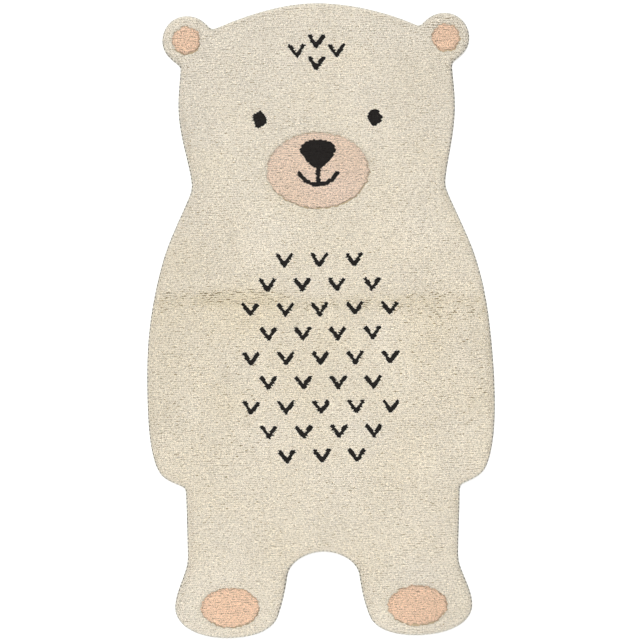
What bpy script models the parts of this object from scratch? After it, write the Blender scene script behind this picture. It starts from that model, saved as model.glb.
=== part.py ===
"""Bear shaped kids rug: one tufted body in the outline of a standing bear, with a whipped edge.

Metres, +Z up. The rug lies flat with its underside on z = 0, the head towards +Y and the feet towards -Y,
and the middle of its outline on the origin.
"""
import bpy
import bmesh
import numpy as np
from math import cos, sin, radians, pi
from mathutils import Vector

# ---------------------------------------------------------------- driving sizes
RUG_LENGTH = 1.350            # crown to soles, over the whipped edge
PILE_HEIGHT = 0.0140          # ground cloth and cut pile together
WHIP_RADIUS = 0.0026          # half the thickness of the whipped edge
WHIP_LIFT = 0.0003            # its underside, just clear of the floor
SEAM_GAP = 0.0004             # between the whipping and the pile behind it
BEHIND_WHIPPING = WHIP_RADIUS + SEAM_GAP

# Half of the outline, walked from the crown down the +X side to the crotch, along the middle of the whipping.
# arrives and leaves are headings in degrees, anticlockwise from +X, and they differ only at a sharp corner.
# pull_in and pull_out say how far the curve holds each heading, in metres.
HALF_OUTLINE = (
    # place          x       y      arrives leaves pull_in pull_out
    ("crown",        0.000,  0.673,    0,    0,  0.080, 0.080),
    ("ear_inside",   0.223,  0.619,  -25,   52,  0.070, 0.022),
    ("ear_top",      0.276,  0.650,    0,    0,  0.026, 0.029),
    ("ear_side",     0.327,  0.598,  -90,  -90,  0.029, 0.026),
    ("ear_outside",  0.287,  0.545, -146,  -86,  0.024, 0.030),
    ("cheek",        0.293,  0.448,  -91,  -91,  0.034, 0.060),
    ("neck",         0.268,  0.284,  -90,  -90,  0.034, 0.014),
    ("shoulder",     0.328,  0.142,  -71,  -71,  0.050, 0.070),
    ("elbow",        0.369, -0.150,  -90,  -90,  0.120, 0.070),
    ("hand",         0.345, -0.324, -122, -122,  0.036, 0.018),
    ("hand_inside",  0.291, -0.355, -156,  -91,  0.020, 0.030),
    ("leg",          0.287, -0.510,  -90,  -90,  0.060, 0.024),
    ("foot_side",    0.316, -0.612,  -90,  -90,  0.034, 0.036),
    ("sole",         0.198, -0.675,  180,  180,  0.072, 0.052),
    ("heel",         0.100, -0.634,  110,  110,  0.026, 0.030),
    ("crotch_side",  0.079, -0.545,   96,   96,  0.026, 0.026),
    ("crotch",       0.000, -0.494,  180,  180,  0.040, 0.040),
)

# The hand cut edge wanders a little: each row is a wave round the whole outline.
EDGE_WANDER = (
    # waves  depth    start
    (7,     0.0008,   20),
    (17,    0.0005,  140),
)

TRACE_STEP = 0.002            # fine spacing on which corners are rounded
CORNER_SPAN = 0.016           # the needle rounds off whatever turns within this length
STATION_STEP = 0.0115         # spacing of the stations that the solids use
STATION_STEP_MIN = 0.0045     # and where the edge turns tightest
TURN_PER_STATION = 24         # degrees of turn that one step may take

# Section of the pile at the rim, from the floor up: how far it lies inside the whipping's middle line, and its
# height as a share of the pile's. The pile is cut square to the floor behind the whipping and leans out over it.
RIM_SECTION = (
    # place         inside    height
    ("foot",        BEHIND_WHIPPING,  0.00),
    ("behind",      BEHIND_WHIPPING,  0.26),
    ("over",        0.0022,   0.48),
    ("lip",         0.0010,   0.62),
    ("shoulder",    0.0018,   0.80),
    ("brow",        0.0048,   0.93),
    ("top",         0.0110,   1.00),
)

# The top is cut into a net, so that it can rise and sink.
NET_STEP = 0.058
NET_SNAP = 0.0016             # an outline point this near a cut is taken as on it
# The rug was stored folded in half across the body: a shallow crease with a second, fainter one below it.
CREASES = (
    # place      y        depth    half_width  bend
    ("fold",     0.050,   0.0024,  0.013,      0.005),
    ("second",   0.002,   0.0011,  0.012,     -0.004),
)
CREASE_CUTS = (-1.6, -0.8, 0.0, 0.8, 1.6)     # rows of the net at each crease, in half widths
# Slow swells in how the pile stands, each a wave across and along the rug.
SWELLS = (
    # height   across   along   start
    (0.0005,   0.42,    0.55,    30),
    (0.0004,   0.23,    0.36,   200),
)

CREAM = (0.760, 0.665, 0.520, 1.0)
EDGE_CREAM = (0.700, 0.620, 0.490, 1.0)


# ---------------------------------------------------------------- scene and materials
def clear_scene():
    for old in list(bpy.data.objects):
        bpy.data.objects.remove(old, do_unlink=True)


def make_material(name, colour, roughness):
    material = bpy.data.materials.new(name)
    material.use_nodes = True
    shader = material.node_tree.nodes["Principled BSDF"]
    shader.inputs["Base Color"].default_value = colour
    shader.inputs["Roughness"].default_value = roughness
    shader.inputs["Metallic"].default_value = 0.0
    material.diffuse_color = colour
    return material


def new_object(name, data, material, collection):
    piece = bpy.data.objects.new(name, data)
    piece.data.materials.clear()
    piece.data.materials.append(material)
    collection.objects.link(piece)
    return piece


# ---------------------------------------------------------------- the outline
def outline_knots():
    """Both halves of the bear, clockwise from the crown."""
    right = [row[1:] for row in HALF_OUTLINE]
    left = []
    for x, y, arrives, leaves, pull_in, pull_out in reversed(right[1:-1]):
        left.append((-x, y, -leaves, -arrives, pull_out, pull_in))
    return right + left


def outline_curve(collection):
    """The outline as a closed Bezier curve."""
    knots = outline_knots()
    data = bpy.data.curves.new("outline_guide", "CURVE")
    data.dimensions = "2D"
    data.fill_mode = "NONE"
    data.resolution_u = 48
    spline = data.splines.new("BEZIER")
    spline.bezier_points.add(len(knots) - 1)
    for point, (x, y, arrives, leaves, pull_in, pull_out) in zip(spline.bezier_points, knots):
        point.handle_left_type = "FREE"
        point.handle_right_type = "FREE"
        point.co = (x, y, 0.0)
        back = radians(arrives)
        ahead = radians(leaves)
        point.handle_left = (x - pull_in * cos(back), y - pull_in * sin(back), 0.0)
        point.handle_right = (x + pull_out * cos(ahead), y + pull_out * sin(ahead), 0.0)
    spline.use_cyclic_u = True
    guide = bpy.data.objects.new("outline_guide", data)
    guide.hide_render = True
    guide.display_type = "WIRE"
    collection.objects.link(guide)
    return guide


def curve_points(guide):
    """The points of a closed curve object, in order."""
    bpy.context.view_layer.update()
    evaluated = guide.evaluated_get(bpy.context.evaluated_depsgraph_get())
    mesh = bpy.data.meshes.new_from_object(evaluated)
    points = np.array([vertex.co[:2] for vertex in mesh.vertices])
    bpy.data.meshes.remove(mesh)
    return points


def closed_length(loop):
    """Length from the loop's first point to each point and back to the first."""
    steps = np.linalg.norm(np.roll(loop, -1, axis=0) - loop, axis=1)
    return np.concatenate([[0.0], np.cumsum(steps)])


def points_at(loop, distances):
    """The loop's points at given lengths along it."""
    length = closed_length(loop)
    ring = np.vstack([loop, loop[:1]])
    x = np.interp(distances, length, ring[:, 0])
    y = np.interp(distances, length, ring[:, 1])
    return np.column_stack([x, y])


def even_loop(loop, step):
    total = closed_length(loop)[-1]
    count = int(round(total / step))
    return points_at(loop, np.arange(count) * total / count)


def rounded_corners(loop, span, step):
    """The loop with each point moved to the middle of its neighbours, which only alters tight corners."""
    reach = int(round(span / step / 2))
    shifted = [np.roll(loop, offset, axis=0) for offset in range(-reach, reach + 1)]
    return np.mean(shifted, axis=0)


def outward_of(loop):
    """Unit directions that point out of a clockwise loop, in its plane."""
    along = np.roll(loop, -1, axis=0) - np.roll(loop, 1, axis=0)
    along /= np.linalg.norm(along, axis=1)[:, None]
    return np.column_stack([-along[:, 1], along[:, 0]])


def wandering(loop):
    """The loop moved in and out by the waves of a hand cut edge."""
    length = closed_length(loop)
    share = length[:-1] / length[-1]
    shift = np.zeros(len(loop))
    for waves, depth, start in EDGE_WANDER:
        shift += depth * np.sin(2 * pi * waves * share + radians(start))
    return loop + outward_of(loop) * shift[:, None]


def centred(loop):
    """The loop scaled to the rug's length and moved so that the middle of its box is the origin."""
    low = loop.min(axis=0)
    high = loop.max(axis=0)
    scale = (RUG_LENGTH - 2 * WHIP_RADIUS) / (high[1] - low[1])
    return (loop - (low + high) / 2) * scale


def stations_on(loop):
    """Stations along the loop, closer together where it turns."""
    along = np.roll(loop, -1, axis=0) - loop
    heading = np.arctan2(along[:, 1], along[:, 0])
    turn = np.abs((np.roll(heading, -1) - heading + pi) % (2 * pi) - pi)
    length = closed_length(loop)
    step = np.diff(length)
    reach = int(round(CORNER_SPAN / TRACE_STEP / 2))
    bend = np.mean([np.roll(turn, k) for k in range(-reach, reach + 1)], axis=0) / step
    spacing = np.clip(radians(TURN_PER_STATION) / np.maximum(bend, 0.01), STATION_STEP_MIN, STATION_STEP)
    wanted = np.concatenate([[0.0], np.cumsum(step / spacing)])
    count = int(round(wanted[-1]))
    distances = np.interp(np.arange(count) * wanted[-1] / count, wanted, length)
    return points_at(loop, distances)


def rug_outline(collection):
    """The whipping's middle line as a ring of stations."""
    loop = even_loop(curve_points(outline_curve(collection)), TRACE_STEP)
    loop = rounded_corners(loop, CORNER_SPAN, TRACE_STEP)
    loop = centred(wandering(loop))
    return stations_on(loop)


# ---------------------------------------------------------------- the tufted body
def relief(x, y):
    """How far the pile's top stands above or below its even height."""
    height = 0.0
    for place, crease_y, depth, half_width, bend in CREASES:
        middle = crease_y + bend * sin(7.0 * x + crease_y * 40.0)
        height -= depth * np.exp(-((y - middle) / half_width) ** 2)
    for swell, across, along, start in SWELLS:
        height += swell * sin(2 * pi * x / across + radians(start)) * cos(2 * pi * y / along + radians(start))
    return height


def cut_lines(low, high, step):
    count = int((high - low) / step)
    start = (low + high - count * step) / 2
    return [start + step * index for index in range(count + 1)]


def net_cuts(low, high):
    """Planes that cut the top into a net, as a point and a direction each."""
    cuts = [(Vector((x, 0, 0)), Vector((1, 0, 0))) for x in cut_lines(low[0], high[0], NET_STEP)]
    rows = [crease_y + share * half_width
            for place, crease_y, depth, half_width, bend in CREASES for share in CREASE_CUTS]
    clear_of_rows = NET_STEP / 3
    rows += [y for y in cut_lines(low[1], high[1], NET_STEP)
             if min(abs(y - row) for row in rows) > clear_of_rows]
    cuts += [(Vector((0, y, 0)), Vector((0, 1, 0))) for y in sorted(rows)]
    return cuts


def tufted_body(stations, material, collection):
    outward = outward_of(stations)
    shape = bmesh.new()
    station = shape.verts.layers.int.new("station")

    def place(vertices, inside, share):
        for vertex in vertices:
            spot = stations[vertex[station]] - outward[vertex[station]] * inside
            vertex.co = (spot[0], spot[1], share * PILE_HEIGHT)

    foot = [shape.verts.new((x, y, 0.0)) for x, y in stations]
    for index, vertex in enumerate(foot):
        vertex[station] = index
    rim = [shape.edges.new((foot[index - 1], vertex)) for index, vertex in enumerate(foot)]
    bmesh.ops.edgeloop_fill(shape, edges=rim)
    place(foot, *RIM_SECTION[0][1:])
    for name, inside, share in RIM_SECTION[1:]:
        raised = bmesh.ops.extrude_edge_only(shape, edges=rim)["geom"]
        rim = [item for item in raised if isinstance(item, bmesh.types.BMEdge)]
        place([item for item in raised if isinstance(item, bmesh.types.BMVert)], inside, share)

    top = bmesh.ops.edgeloop_fill(shape, edges=rim)["faces"][0]
    net = [top] + top.edges[:] + top.verts[:]
    for point, direction in net_cuts(stations.min(axis=0), stations.max(axis=0)):
        net = bmesh.ops.bisect_plane(shape, geom=net, dist=NET_SNAP, plane_co=point, plane_no=direction)["geom"]

    for vertex in shape.verts:
        vertex.co.z *= 1.0 + relief(vertex.co.x, vertex.co.y) / PILE_HEIGHT

    bmesh.ops.triangulate(shape, faces=shape.faces[:])
    bmesh.ops.recalc_face_normals(shape, faces=shape.faces[:])
    mesh = bpy.data.meshes.new("tufted_body")
    shape.to_mesh(mesh)
    shape.free()
    mesh.shade_smooth()
    mesh.set_sharp_from_angle(angle=radians(50))
    return new_object("tufted_body", mesh, material, collection)


# ---------------------------------------------------------------- the whipped edge
def edge_whipping(stations, material, collection):
    """One closed roll of yarn round the cut edge."""
    data = bpy.data.curves.new("edge_whipping", "CURVE")
    data.dimensions = "3D"
    data.bevel_depth = WHIP_RADIUS
    data.bevel_resolution = 2
    spline = data.splines.new("POLY")
    spline.points.add(len(stations) - 1)
    for point, (x, y) in zip(spline.points, stations):
        point.co = (x, y, WHIP_LIFT + WHIP_RADIUS, 1.0)
    spline.use_cyclic_u = True
    spline.use_smooth = True
    return new_object("edge_whipping", data, material, collection)


def build_rug():
    clear_scene()
    rug = bpy.data.collections.new("bear_rug")
    guides = bpy.data.collections.new("guides")
    bpy.context.scene.collection.children.link(rug)
    bpy.context.scene.collection.children.link(guides)
    stations = rug_outline(guides)
    tufted_body(stations, make_material("cut_pile", CREAM, 0.95), rug)
    edge_whipping(stations, make_material("whipping_yarn", EDGE_CREAM, 0.9), rug)


build_rug()
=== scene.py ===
# %% [markdown]
# # A bear shaped rug with a real pile
#
# The rug is a flat ground cloth in the outline of a standing bear. Short cotton tufts stand on it, packed
# side by side in rows, and yarn is sewn over and over round its cut edge. From above, the tips of the tufts
# are all that shows, so this lesson builds the tufts themselves, tens of thousands of them, instead of
# painting a texture on a flat slab. Grooves, creases and the pattern then come from where each tuft stands
# and from which yarn it is, and the grooves and creases also get painted shade in the tufts' colour.
#
# The solid model is loaded first, as a frame that every new piece is fitted to.

# %% Load the frame
from collections import namedtuple
from math import cos, pi, radians, sin, tau

import bmesh
import bpy
import numpy as np
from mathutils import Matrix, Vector
from mathutils.bvhtree import BVHTree


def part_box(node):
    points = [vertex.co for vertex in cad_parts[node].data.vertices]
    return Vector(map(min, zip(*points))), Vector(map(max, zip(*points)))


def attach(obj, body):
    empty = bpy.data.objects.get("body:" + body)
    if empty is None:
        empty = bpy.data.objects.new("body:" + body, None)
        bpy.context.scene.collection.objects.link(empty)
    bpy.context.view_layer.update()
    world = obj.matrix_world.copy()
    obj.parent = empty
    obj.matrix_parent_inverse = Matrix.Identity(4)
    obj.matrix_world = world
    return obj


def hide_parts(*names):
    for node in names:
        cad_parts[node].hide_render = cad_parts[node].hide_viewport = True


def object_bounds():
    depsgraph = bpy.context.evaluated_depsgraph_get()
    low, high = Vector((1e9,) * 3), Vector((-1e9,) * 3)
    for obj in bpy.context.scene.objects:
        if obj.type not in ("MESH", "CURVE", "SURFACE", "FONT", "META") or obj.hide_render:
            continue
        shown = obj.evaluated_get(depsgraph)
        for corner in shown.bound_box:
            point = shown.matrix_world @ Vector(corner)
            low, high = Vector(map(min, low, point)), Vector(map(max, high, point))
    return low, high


MM = 1000.0                        # millimetres in a metre

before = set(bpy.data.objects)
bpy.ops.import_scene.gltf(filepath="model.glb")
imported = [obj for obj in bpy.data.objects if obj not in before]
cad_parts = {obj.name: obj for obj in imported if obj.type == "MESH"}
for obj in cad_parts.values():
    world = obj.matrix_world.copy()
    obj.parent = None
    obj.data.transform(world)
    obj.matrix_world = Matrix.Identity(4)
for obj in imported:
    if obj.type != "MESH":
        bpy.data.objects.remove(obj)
cad_low, cad_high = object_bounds()
rug_size = cad_high - cad_low
print(f"the rug is {rug_size.x:.3f} x {rug_size.y:.3f} x {rug_size.z:.4f} m")

# %% [markdown]
# ## Camera, light and floor
#
# The photo looks straight down on the rug, which nearly fills the picture from top to bottom. A long lens
# keeps the sides from spreading. The rug lies a little askew in the picture, so the camera is rolled by that
# angle.

# %% Camera
PHOTO_SHARE = 636.5 / 640          # the rug's length as a share of the picture's height
LENS = 0.085
SENSOR = 0.036
CAMERA_ROLL = radians(-0.8)


def add_object(name, data):
    """A new object in the scene, at the origin."""
    made = bpy.data.objects.new(name, data)
    bpy.context.scene.collection.objects.link(made)
    return made


def add_camera():
    data = bpy.data.cameras.new("camera")
    data.lens = MM * LENS
    data.sensor_width = MM * SENSOR
    camera = add_object("camera", data)
    view_height = rug_size.y / PHOTO_SHARE
    camera.location = (0.0, 0.0, cad_high.z + view_height * LENS / SENSOR)
    camera.rotation_euler = (0.0, 0.0, CAMERA_ROLL)
    bpy.context.scene.camera = camera
    return camera


camera = add_camera()
print(f"camera {camera.location.z:.2f} m above the floor")

# %% [markdown]
# Two large soft lamps make the light. The stronger one stands beyond the head, so that each row of tufts
# throws a faint shade on the next, and the one beyond the feet softens that shade. A bright even sky fills in
# from everywhere.

# %% Lamps and sky
SKY_STRENGTH = 0.69
LAMPS = (
    # place         x     y     z    width  power
    ("head_lamp",  -1.2,  5.0,  7.2,  3.0,  480.0),
    ("foot_lamp",  -0.3, -4.6,  7.0,  5.0,  338.0),
)


def add_lamp(name, x, y, z, width, power):
    data = bpy.data.lights.new(name, "AREA")
    data.shape = "DISK"
    data.size = width
    data.energy = power
    lamp = add_object(name, data)
    lamp.location = (x, y, z)
    lamp.rotation_mode = "QUATERNION"
    lamp.rotation_quaternion = Vector((-x, -y, -z)).to_track_quat("-Z", "Y")


def add_sky():
    world = bpy.data.worlds.new("sky")
    world.use_nodes = True
    sky = world.node_tree.nodes["Background"]
    sky.inputs["Color"].default_value = (1.0, 1.0, 1.0, 1.0)
    sky.inputs["Strength"].default_value = SKY_STRENGTH
    bpy.context.scene.world = world


for lamp in LAMPS:
    add_lamp(*lamp)
add_sky()
bpy.context.scene.view_settings.view_transform = "Standard"
print("lamps:", ", ".join(lamp[0] for lamp in LAMPS))

# %% [markdown]
# The floor is a plain pale sheet, wide enough for low views. Every finish in this lesson starts from
# Blender's Principled shader and sets how rough and how glossy it is, so that start gets a helper.

# %% Floor
FLOOR_SIZE = 60.0
FLOOR_DROP = 0.0006                # below the rug's underside, so that the two never flicker
FLOOR_COLOUR = (0.93, 0.93, 0.93, 1.0)
FLOOR_ROUGHNESS = 0.9
FLOOR_GLOSS = 0.5


def new_material(name, roughness, gloss):
    """A material, its node tree and its shader."""
    material = bpy.data.materials.new(name)
    material.use_nodes = True
    shader = material.node_tree.nodes["Principled BSDF"]
    shader.inputs["Roughness"].default_value = roughness
    shader.inputs["Specular IOR Level"].default_value = gloss
    return material, material.node_tree, shader


def add_floor():
    shape = bmesh.new()
    bmesh.ops.create_grid(shape, x_segments=1, y_segments=1, size=FLOOR_SIZE / 2)
    bmesh.ops.translate(shape, verts=shape.verts, vec=(0, 0, -FLOOR_DROP))
    mesh = bpy.data.meshes.new("floor")
    shape.to_mesh(mesh)
    shape.free()
    paint, _, shader = new_material("pale_floor", FLOOR_ROUGHNESS, FLOOR_GLOSS)
    shader.inputs["Base Color"].default_value = FLOOR_COLOUR
    mesh.materials.append(paint)
    floor = add_object("floor", mesh)
    return floor


floor = add_floor()
print(f"{floor.name}: {FLOOR_SIZE:.0f} m wide")

# %% [markdown]
# ## The outline
#
# Everything follows the rug's outline. It could be drawn again here, but then it might drift from the solid,
# so it is read from the solid's underside instead: the edges that bound the flat bottom faces, walked round
# once.

# %% Read the outline from the solid
SAME_POINT = 0.00001               # corners this close together are one
UNDERSIDE_Z = 0.0003               # faces wholly below this height are the underside


def polygon_area(ring):
    after = np.roll(ring, -1, axis=0)
    return 0.5 * np.sum(ring[:, 0] * after[:, 1] - ring[:, 1] * after[:, 0])


def underside_ring(node):
    """The points round a flat underside, anticlockwise seen from above."""
    shape = bmesh.new()
    shape.from_mesh(node.data)
    bmesh.ops.remove_doubles(shape, verts=shape.verts, dist=SAME_POINT)
    under = {face for face in shape.faces if all(vertex.co.z < UNDERSIDE_Z for vertex in face.verts)}
    rim = [edge for edge in shape.edges if sum(face in under for face in edge.link_faces) == 1]
    neighbours = {}
    for edge in rim:
        for vertex in edge.verts:
            neighbours.setdefault(vertex, []).append(edge.other_vert(vertex))
    start = rim[0].verts[0]
    walk = [start, neighbours[start][0]]
    while walk[-1] is not start:
        one, other = neighbours[walk[-1]]
        walk.append(other if one is walk[-2] else one)
    ring = np.array([vertex.co[:2] for vertex in walk[:-1]])
    shape.free()
    return ring if polygon_area(ring) > 0 else ring[::-1]


def outward_of(ring):
    """Unit directions that point out of an anticlockwise ring."""
    along = np.roll(ring, -1, axis=0) - np.roll(ring, 1, axis=0)
    along /= np.linalg.norm(along, axis=1)[:, None]
    return np.column_stack([along[:, 1], -along[:, 0]])


foot_ring = underside_ring(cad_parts["tufted_body"])

# %% [markdown]
# The whipping is the yarn sewn round the cut edge. Its middle line runs just outside the foot of the pile,
# and its height and thickness are those of the solid. The tufts at the rim and the stitches both stand at
# even steps along a ring, and a ring's own points need not be even, so spacing them gets a helper.

# %% The whipping's middle line
SEAM_GAP = 0.0004                  # between the whipping and the foot of the pile
edge_low, edge_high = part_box("edge_whipping")
whip_radius = (edge_high.z - edge_low.z) / 2
whip_height = (edge_high.z + edge_low.z) / 2
whip_line = foot_ring + outward_of(foot_ring) * (whip_radius + SEAM_GAP)


def even_ring(ring, pitch):
    """Points spaced evenly round a ring, and the outward direction at each."""
    closed = np.vstack([ring, ring[:1]])
    length = np.concatenate([[0.0], np.cumsum(np.linalg.norm(np.diff(closed, axis=0), axis=1))])
    count = int(round(length[-1] / pitch))
    at = np.arange(count) * length[-1] / count
    points = np.column_stack([np.interp(at, length, closed[:, axis]) for axis in (0, 1)])
    return points, outward_of(points)


print(f"whipping: {2 * MM * whip_radius:.1f} mm thick, middle line {MM * whip_height:.1f} mm up")

# %% [markdown]
# A tuft may only stand on the cloth, and how it stands depends on how far it is from the edge. So each place
# is measured against every stretch of the outline. Asking Blender point by point would do too, but NumPy does
# a few thousand places at once and needs about a second for the whole rug.

# %% Distance to the edge
BATCH = 4000
TINY = 1e-9                        # keeps a division by zero away


def depth_inside(points, ring):
    """How far each point lies inside a ring, below zero outside it, and the way to the nearest edge."""
    after = np.roll(ring, -1, axis=0)
    step = after - ring
    length_squared = np.sum(step * step, axis=1)
    rise = np.where(step[:, 1] == 0, TINY, step[:, 1])
    depth = np.empty(len(points))
    way_out = np.empty((len(points), 2))
    for first in range(0, len(points), BATCH):
        part = points[first:first + BATCH, None, :]
        share = np.clip(np.sum((part - ring) * step, axis=2) / length_squared, 0, 1)
        to_edge = ring + share[..., None] * step - part
        gap = np.linalg.norm(to_edge, axis=2)
        nearest = gap.argmin(axis=1)
        pick = np.arange(len(nearest))
        gap = gap[pick, nearest]
        way_out[first:first + BATCH] = to_edge[pick, nearest] / np.maximum(gap, TINY)[:, None]
        spans = (ring[:, 1] > part[..., 1]) != (after[:, 1] > part[..., 1])
        crossing_x = ring[:, 0] + (part[..., 1] - ring[:, 1]) * step[:, 0] / rise
        crossings = np.sum(spans & (part[..., 0] < crossing_x), axis=1)
        depth[first:first + BATCH] = np.where(crossings % 2 == 1, gap, -gap)
    return depth, way_out


sample, _ = depth_inside(np.array([[0.0, 0.0], [0.0, -0.6]]), whip_line)
print(f"the middle of the belly is {sample[0]:.3f} m inside, between the legs {sample[1]:.3f} m")

# %% [markdown]
# ## Where the tufts stand
#
# A tufter works in rows from side to side, out to the very edge, and lays more rows along the edge so that it
# comes out crisp. Places scattered at random would clump and leave bare spots, so the rows here do as the
# tufter does. Cloth is never quite straight on its frame, so the rows drift a little in slow waves. The waves
# are drawn out up the rug, so that neighbouring rows drift together and stay evenly apart. Along a row the
# tufts splay to its two sides by turns, short stretches lie higher or lower, and each tuft has a small shift
# of its own, which keeps the pile from looking like a printed grid.

# %% Rows over the field
ROW_PITCH = 0.00476                # a tufting machine's needles stand 3/16 inch apart
TUFT_PITCH = 0.0020
FIELD_INSIDE = 0.0043              # the field starts this far in from the whipping's middle line
PLACE_WANDER = (0.00028, 0.00017)
ZIGZAG = 0.0010                    # how far the tufts splay to the two sides of their row
ROW_DRIFTS = (
    # reach  size    seed
    (0.0011, 0.050,  6),
    (0.0008, 0.018,  7),
)
DRIFT_SQUASH = (1.0, 0.2)          # the waves are five times as long up the rug as across it
ROW_SWAY = 0.00015
SWAY_TUFTS = 3                     # tufts in a stretch that lies higher or lower
CLOUD_WAVES = 9
CLOUD_LENGTHS = (1.0, 2.6)         # shortest and longest wave of a cloud, in sizes of the cloud
DICE_SEED = 17
dice = np.random.default_rng(DICE_SEED)


def slow_clouds(places, size, seed):
    """A smooth random value between about -1 and 1 at each place, in clouds of about that size."""
    draw = np.random.default_rng(seed)
    total = np.zeros(len(places))
    for _ in range(CLOUD_WAVES):
        angle, phase = draw.uniform(0, tau, 2)
        length = size * draw.uniform(*CLOUD_LENGTHS)
        total += np.sin(tau * (places[:, 0] * cos(angle) + places[:, 1] * sin(angle)) / length + phase)
    return total / np.sqrt(CLOUD_WAVES)


def row_drift(places):
    """How far the rows have slid up or down at each place."""
    return sum(reach * slow_clouds(places * DRIFT_SQUASH, size, seed) for reach, size, seed in ROW_DRIFTS)


def row_sway(shape):
    """A smooth random value of about unit size along each row."""
    kernel = np.ones(SWAY_TUFTS) / np.sqrt(SWAY_TUFTS)
    return np.apply_along_axis(np.convolve, 1, dice.normal(0.0, 1.0, shape), kernel, "same")


def field_places():
    """Roots of the field's tufts, how far inside they are, and their way to the edge."""
    rows = np.arange(cad_low.y, cad_high.y, ROW_PITCH)
    across = np.arange(cad_low.x, cad_high.x, TUFT_PITCH)
    x, y = np.meshgrid(across, rows)
    x = x + dice.uniform(-0.5, 0.5, (len(rows), 1)) * TUFT_PITCH
    y = y + ZIGZAG * np.where(np.arange(len(across)) % 2, 1, -1) + ROW_SWAY * row_sway(y.shape)
    places = np.column_stack([x.ravel(), y.ravel()])
    places[:, 1] += row_drift(places)
    places += dice.normal(0.0, PLACE_WANDER, places.shape)
    inside, way_out = depth_inside(places, whip_line)
    kept = inside > FIELD_INSIDE
    return places[kept], inside[kept], way_out[kept]


field, field_inside, field_way_out = field_places()
print(f"{len(field)} tufts in the field")

# %% [markdown]
# The height of the pile comes from the solid too, so that the two always agree: a ray dropped on it at each
# place gives the top, with the fold crease and the slow swells that it has.

# %% Height of the pile
RAY_START = 0.1
body_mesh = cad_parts["tufted_body"].data
body_tree = BVHTree.FromPolygons(
    [vertex.co for vertex in body_mesh.vertices],
    [face.vertices[:] for face in body_mesh.polygons])


def pile_top(places):
    """The height of the solid's top at each place."""
    down = Vector((0, 0, -1))
    return np.array([body_tree.ray_cast(Vector((x, y, RAY_START)), down)[0].z for x, y in places])


sample = pile_top(field[::500])
print(f"the pile's top is {MM * sample.min():.1f} to {MM * sample.max():.1f} mm high")

# %% [markdown]
# Near the edge the tufts have no neighbours to hold them up, so they lean out over the whipping and their
# tips round off. A short table says how high tips stand for how far inside the whipping's middle line they
# are. The two rows along the edge have their roots a little inside it and their tips further out, one row
# under the other.

# %% Rows along the rim
ROOT_HEIGHT = 0.0042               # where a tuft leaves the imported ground
RIM_PROFILE = (
    (0.0012, 0.0030, 0.0052, 0.0090, 0.0130),   # how far inside the tips are
    (0.62,   0.82,   0.92,   0.98,   1.00),     # and their share of the full height
)
TOP_INSIDE = RIM_PROFILE[0][-1]
RIM_PITCH = 0.0029
RIM_ROWS = (
    # row        root inside  tip inside  tip height share
    ("skirt",    0.0056,      0.0022,     0.46),
    ("lip",      0.0056,      0.0022,     0.68),
)


def rim_tufts():
    """Roots, tips and outward directions of the rows that follow the edge."""
    roots, tips, ways = [], [], []
    for row, root_inside, tip_inside, share in RIM_ROWS:
        line, outward = even_ring(whip_line, RIM_PITCH)
        top = pile_top(line - outward * TOP_INSIDE)
        root = line - outward * root_inside + dice.normal(0.0, PLACE_WANDER, line.shape)
        tip = line - outward * tip_inside + dice.normal(0.0, PLACE_WANDER[0], line.shape)
        roots.append(np.column_stack([root, np.full(len(root), ROOT_HEIGHT)]))
        tips.append(np.column_stack([tip, top * share]))
        ways.append(outward)
    return np.vstack(roots), np.vstack(tips), np.vstack(ways)


rim_root, rim_tip, rim_way_out = rim_tufts()
print(f"{len(rim_root)} tufts in {len(RIM_ROWS)} rows along the rim")

# %% [markdown]
# Field tufts stand nearly upright. The nap leans a little towards the feet, more in some places than in
# others, which is what gives a real rug its soft light and dark clouds. A colour map could only copy them for
# one light, while leaning tufts answer to any.

# %% Nap of the field
NAP = (0.0002, -0.0006)            # how far the tips lean, across the rug and towards the feet
NAP_CHANGE = 0.7                   # how much stronger or weaker the lean is in places
NAP_CLOUDS = (0.11, 3)             # size and seed of those places
SIDE_LEAN = 0.0006                 # slow changes of the lean to the sides
SIDE_CLOUDS = (0.14, 4)
NAP_WANDER = 0.00022
HEIGHT_WANDER = 0.00015
TIP_RISE = 0.0004                  # tips stand this far above the solid's top
EDGE_LEAN = 0.0013                 # how far the outermost tufts lean out
EDGE_LEAN_END = 0.0140             # and how far in the lean has died away


def field_tufts():
    strength = 1.0 + NAP_CHANGE * slow_clouds(field, *NAP_CLOUDS)
    side = SIDE_LEAN * slow_clouds(field, *SIDE_CLOUDS)
    lean = np.column_stack([NAP[0] * strength + side, NAP[1] * strength])
    lean += dice.normal(0.0, NAP_WANDER, field.shape)
    lean = lean * (1 - near_edge)[:, None] + field_way_out * (EDGE_LEAN * near_edge)[:, None]
    tip_inside = field_inside - EDGE_LEAN * near_edge
    settled = pile_top(field - field_way_out * np.maximum(TOP_INSIDE - field_inside, 0)[:, None])
    rise = TIP_RISE + dice.normal(0.0, HEIGHT_WANDER, len(field))
    height = settled * np.interp(tip_inside, *RIM_PROFILE) + rise
    root = np.column_stack([field, np.full(len(field), ROOT_HEIGHT)])
    return root, np.column_stack([field + lean, height])


near_edge = np.clip((EDGE_LEAN_END - field_inside) / (EDGE_LEAN_END - FIELD_INSIDE), 0, 1)
field_root, field_tip = field_tufts()
roots = np.vstack([field_root, rim_root])
tips = np.vstack([field_tip, rim_tip])
places = roots[:, :2]
print(f"{len(roots)} tufts in all")

# %% [markdown]
# ## The design
#
# A tufter changes yarn and keeps to the rows, so a pattern is just a choice of yarn for each tuft, and its
# edges come out stepped by the size of a tuft. The design is a plain bear: a wide blush muzzle with a soft
# three cornered nose and a smile, dots for eyes, peach ear linings and foot pads, and small charcoal ticks in
# offset rows on the belly and the forehead. Each motif gives every tuft a depth, positive inside it, so one
# rule serves choosing and carving. A border drawn by hand wanders a little, so the depth of a patch does too.

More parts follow.
